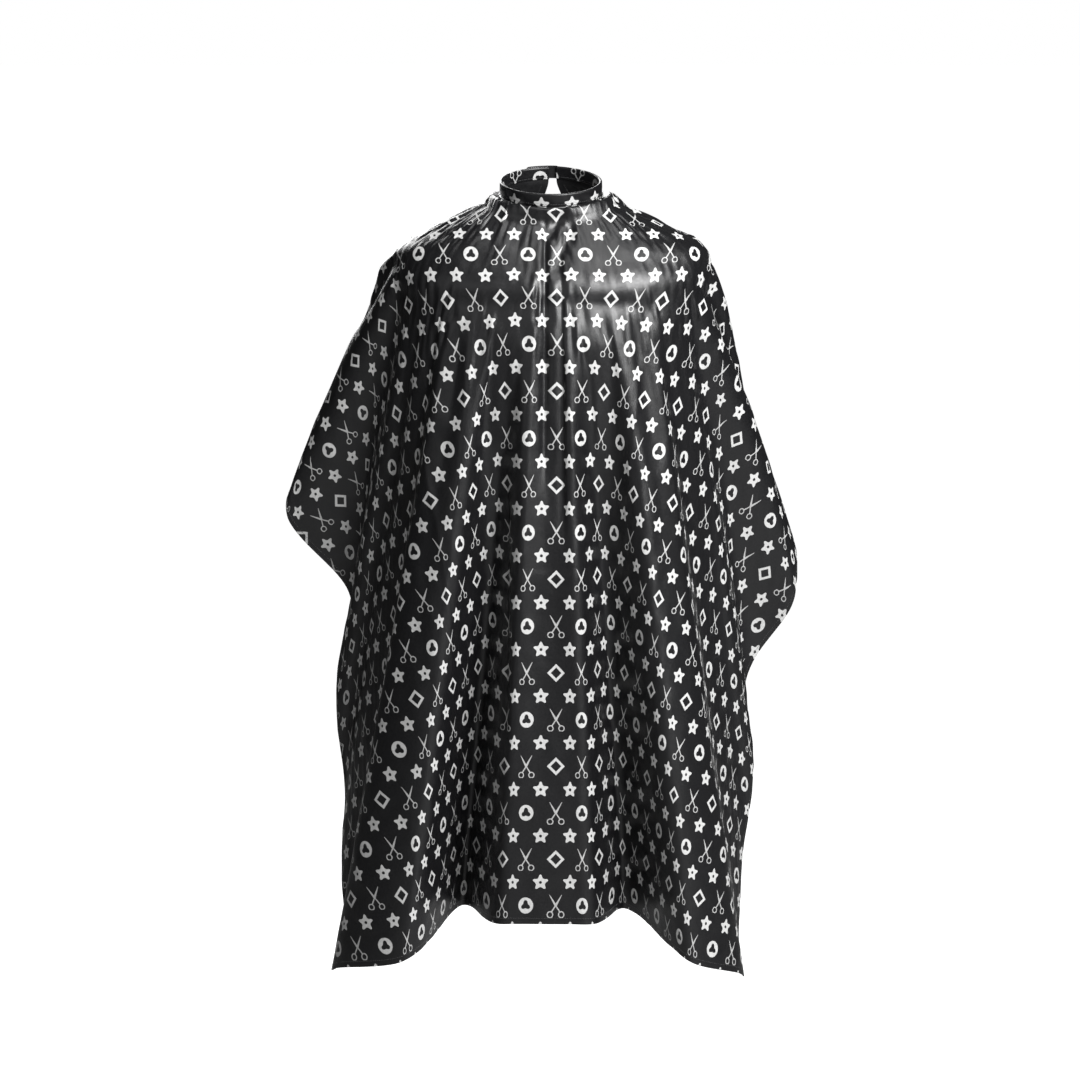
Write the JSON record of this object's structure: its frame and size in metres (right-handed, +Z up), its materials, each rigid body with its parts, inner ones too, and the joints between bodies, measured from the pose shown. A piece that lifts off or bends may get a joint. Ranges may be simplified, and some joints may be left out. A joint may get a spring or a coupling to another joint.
{
  "type": "barber cape",
  "caption": "Barber cape of printed black cloth hanging from a neckband that opens at the back with hook-and-loop tape.",
  "frame": {"origin": "centre of the neckband's top edge, on the neck axis", "axes": "+Z up; the wearer faces -Y and +X is to the right of a viewer who faces the wearer; the neck axis leans 12 degrees forward"},
  "size_m": [0.6888, 0.2966, 1.062],
  "materials": {
    "cape_cloth": "black waterproof polyester twill with a soft sheen and a small white all-over print",
    "neckband_cloth": "the same printed black polyester twill, folded and topstitched",
    "interlining": "off-white non-woven stiffener",
    "thread": "black polyester sewing thread",
    "hook_tape": "black nylon hook tape",
    "loop_tape": "black brushed nylon loop tape",
    "label_tape": "blank white satin label tape"
  },
  "bodies": {
    "root": {"cape_panel": "cape_cloth", "neckband_front": "neckband_cloth", "interlining_front": "interlining", "neckband_stitching_front": "thread", "care_label": "label_tape", "hem_stitching": "thread"},
    "left_back": {"back_yoke_left": "cape_cloth", "neckband_left": "neckband_cloth", "interlining_left": "interlining", "neckband_stitching_left": "thread", "loop_strip": "loop_tape"},
    "right_back": {"back_yoke_right": "cape_cloth", "neckband_right": "neckband_cloth", "interlining_right": "interlining", "neckband_stitching_right": "thread"},
    "closure_tab": {"closure_tab": "neckband_cloth", "hook_patch": "hook_tape", "tab_stitching": "thread"}
  },
  "joints": [
    {"name": "neck_open_right", "type": "hinge", "parent": "root", "child": "right_back", "pos_m": [0.05505, 0.03798, -0.00011], "axis": [0, 0.2079, -0.9781], "range_deg": [0, 60]},
    {"name": "neck_open_left", "type": "hinge", "parent": "root", "child": "left_back", "pos_m": [-0.05505, 0.03798, -0.00011], "axis": [0, -0.2079, 0.9781], "range_deg": [0, 60]},
    {"name": "tab_peel", "type": "hinge", "parent": "right_back", "child": "closure_tab", "pos_m": [0.00425, 0.06961, 0.00662], "axis": [0, 0.2079, -0.9781], "range_deg": [0, 120]}
  ],
  "couplings": [
    {"joint": "neck_open_left", "follows": "neck_open_right", "ratio": 1}
  ]
}
